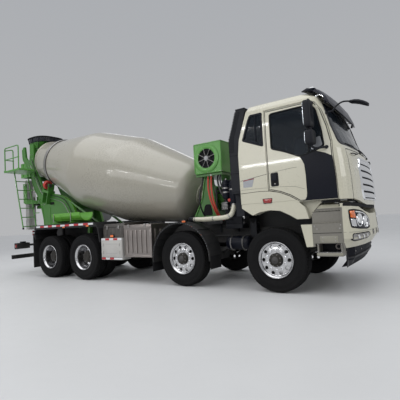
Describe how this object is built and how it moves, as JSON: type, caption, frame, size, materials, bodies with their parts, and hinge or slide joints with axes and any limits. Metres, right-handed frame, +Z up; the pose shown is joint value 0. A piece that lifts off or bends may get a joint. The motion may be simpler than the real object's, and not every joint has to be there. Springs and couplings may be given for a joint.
{
  "type": "concrete mixer truck",
  "caption": "Heavy forward-control truck on four axles with a tilted revolving mixing drum, loading hopper, swinging discharge chute, side ladder and tilting cab.",
  "frame": {"origin": "on the ground, under the middle of the whole length and width", "axes": "+X ahead along the truck, +Y to its left, +Z up"},
  "size_m": [10.6663, 3.14, 4.19],
  "materials": {
    "rubber": "matt tyre rubber",
    "aluminium": "polished",
    "black": "matt black",
    "steel": "dark painted",
    "greige": "gloss warm light khaki",
    "drum": "gloss warm grey",
    "green": "semi-gloss green",
    "lime": "semi-gloss bright green",
    "grey": "satin grey",
    "stainless": "brushed",
    "red": "satin red",
    "glass": "dark tinted",
    "fabric": "dark woven",
    "white": "satin white",
    "chassis_black": "satin black"
  },
  "bodies": {
    "chassis": {"chassis_frame": "chassis_black", "engine_block": "steel", "bumper": "greige", "intake_duct": "black", "aftertreatment_box": "stainless", "fuel_tank": "aluminium", "side_locker": "white", "mudguard_2_right": "chassis_black", "mudguard_2_left": "chassis_black", "rear_mudguard_right": "chassis_black", "rear_mudguard_left": "chassis_black", "mixer_subframe": "green", "front_pedestal": "green", "rear_pedestal": "green", "hopper": "black", "discharge_trough": "green", "platform": "green", "cooler_box": "green", "water_tank": "grey", "extension_chute": "lime", "front_axle_1": "steel", "front_axle_2": "steel", "rear_bogie": "steel"},
    "cab": {"cab_shell": "greige", "windscreen": "glass", "driver_seat": "fabric", "passenger_seat": "fabric", "dashboard": "black", "sun_visor": "black", "front_mirror": "black"},
    "door_right_body": {"door_right": "greige", "door_glass_right": "glass", "mirror_right": "black"},
    "door_left_body": {"door_left": "greige", "door_glass_left": "glass", "mirror_left": "black"},
    "front_panel_body": {"front_panel": "greige"},
    "drum_body": {"drum": "drum"},
    "roller_right_body": {"roller_right": "red"},
    "roller_left_body": {"roller_left": "red"},
    "chute_swivel_body": {"chute_swivel": "green"},
    "main_chute_body": {"main_chute": "grey"},
    "cooler_fan_body": {"cooler_fan": "black"},
    "knuckle_1_right_body": {"knuckle_1_right": "steel"},
    "front_wheel_1_right_body": {"front_tyre_1_right": "rubber", "front_rim_1_right": "aluminium"},
    "knuckle_1_left_body": {"knuckle_1_left": "steel"},
    "front_wheel_1_left_body": {"front_tyre_1_left": "rubber", "front_rim_1_left": "aluminium"},
    "knuckle_2_right_body": {"knuckle_2_right": "steel"},
    "front_wheel_2_right_body": {"front_tyre_2_right": "rubber", "front_rim_2_right": "aluminium"},
    "knuckle_2_left_body": {"knuckle_2_left": "steel"},
    "front_wheel_2_left_body": {"front_tyre_2_left": "rubber", "front_rim_2_left": "aluminium"},
    "rear_wheels_1_right_body": {"rear_wheels_1_right": "rubber"},
    "rear_wheels_1_left_body": {"rear_wheels_1_left": "rubber"},
    "rear_wheels_2_right_body": {"rear_wheels_2_right": "rubber"},
    "rear_wheels_2_left_body": {"rear_wheels_2_left": "rubber"}
  },
  "joints": [
    {"name": "steer_1_right", "type": "hinge", "parent": "chassis", "child": "knuckle_1_right_body", "pos_m": [3.773, -0.8, 0.542], "axis": [0, 0, 1], "range_deg": [-35, 35]},
    {"name": "front_wheel_1_right_spin", "type": "hinge", "parent": "knuckle_1_right_body", "child": "front_wheel_1_right_body", "pos_m": [3.773, -1.02, 0.542], "axis": [0, 1, 0], "continuous": true},
    {"name": "steer_1_left", "type": "hinge", "parent": "chassis", "child": "knuckle_1_left_body", "pos_m": [3.773, 0.8, 0.542], "axis": [0, 0, 1], "range_deg": [-35, 35]},
    {"name": "front_wheel_1_left_spin", "type": "hinge", "parent": "knuckle_1_left_body", "child": "front_wheel_1_left_body", "pos_m": [3.773, 1.02, 0.542], "axis": [0, 1, 0], "continuous": true},
    {"name": "steer_2_right", "type": "hinge", "parent": "chassis", "child": "knuckle_2_right_body", "pos_m": [1.843, -0.8, 0.542], "axis": [0, 0, 1], "range_deg": [-27, 27]},
    {"name": "front_wheel_2_right_spin", "type": "hinge", "parent": "knuckle_2_right_body", "child": "front_wheel_2_right_body", "pos_m": [1.843, -1.02, 0.542], "axis": [0, 1, 0], "continuous": true},
    {"name": "steer_2_left", "type": "hinge", "parent": "chassis", "child": "knuckle_2_left_body", "pos_m": [1.843, 0.8, 0.542], "axis": [0, 0, 1], "range_deg": [-27, 27]},
    {"name": "front_wheel_2_left_spin", "type": "hinge", "parent": "knuckle_2_left_body", "child": "front_wheel_2_left_body", "pos_m": [1.843, 1.02, 0.542], "axis": [0, 1, 0], "continuous": true},
    {"name": "rear_wheels_1_right_spin", "type": "hinge", "parent": "chassis", "child": "rear_wheels_1_right_body", "pos_m": [-1.087, -0.92, 0.542], "axis": [0, 1, 0], "continuous": true},
    {"name": "rear_wheels_1_left_spin", "type": "hinge", "parent": "chassis", "child": "rear_wheels_1_left_body", "pos_m": [-1.087, 0.92, 0.542], "axis": [0, 1, 0], "continuous": true},
    {"name": "rear_wheels_2_right_spin", "type": "hinge", "parent": "chassis", "child": "rear_wheels_2_right_body", "pos_m": [-2.437, -0.92, 0.542], "axis": [0, 1, 0], "continuous": true},
    {"name": "rear_wheels_2_left_spin", "type": "hinge", "parent": "chassis", "child": "rear_wheels_2_left_body", "pos_m": [-2.437, 0.92, 0.542], "axis": [0, 1, 0], "continuous": true},
    {"name": "cab_tilt", "type": "hinge", "parent": "chassis", "child": "cab", "pos_m": [5.033, 0, 0.9], "axis": [0, 1, 0], "range_deg": [0, 50]},
    {"name": "front_panel_lift", "type": "hinge", "parent": "cab", "child": "front_panel_body", "pos_m": [5.048, 0, 2.23], "axis": [0, -1, 0], "range_deg": [0, 75]},
    {"name": "door_right_hinge", "type": "hinge", "parent": "cab", "child": "door_right_body", "pos_m": [4.813, -1.24, 2.2], "axis": [0, 0, 1], "range_deg": [0, 70]},
    {"name": "door_left_hinge", "type": "hinge", "parent": "cab", "child": "door_left_body", "pos_m": [4.813, 1.24, 2.2], "axis": [0, 0, -1], "range_deg": [0, 70]},
    {"name": "drum_spin", "type": "hinge", "parent": "chassis", "child": "drum_body", "pos_m": [-3.307, 0, 3.245], "axis": [-0.9636, 0, 0.2672], "continuous": true},
    {"name": "roller_right_spin", "type": "hinge", "parent": "chassis", "child": "roller_right_body", "pos_m": [-3.49242, -0.54209, 2.57639], "axis": [-0.9636, 0, 0.2672], "continuous": true},
    {"name": "roller_left_spin", "type": "hinge", "parent": "chassis", "child": "roller_left_body", "pos_m": [-3.49242, 0.54209, 2.57639], "axis": [-0.9636, 0, 0.2672], "continuous": true},
    {"name": "chute_swing", "type": "hinge", "parent": "chassis", "child": "chute_swivel_body", "pos_m": [-4.827, 0, 2.2], "axis": [0, 0, 1], "range_deg": [-130, 0]},
    {"name": "chute_lift", "type": "hinge", "parent": "chute_swivel_body", "child": "main_chute_body", "pos_m": [-5.07238, -0.26342, 2.7], "axis": [-0.7317, 0.6816, 0], "range_deg": [0, 60]},
    {"name": "cooler_fan_spin", "type": "hinge", "parent": "chassis", "child": "cooler_fan_body", "pos_m": [2.313, -0.725, 2.5], "axis": [0, 1, 0], "continuous": true}
  ],
  "couplings": [
    {"joint": "steer_1_left", "follows": "steer_1_right", "ratio": 1},
    {"joint": "steer_2_right", "follows": "steer_1_right", "ratio": 0.75},
    {"joint": "steer_2_left", "follows": "steer_1_right", "ratio": 0.75},
    {"joint": "roller_right_spin", "follows": "drum_spin", "ratio": -5.7308},
    {"joint": "roller_left_spin", "follows": "drum_spin", "ratio": -5.7308}
  ]
}
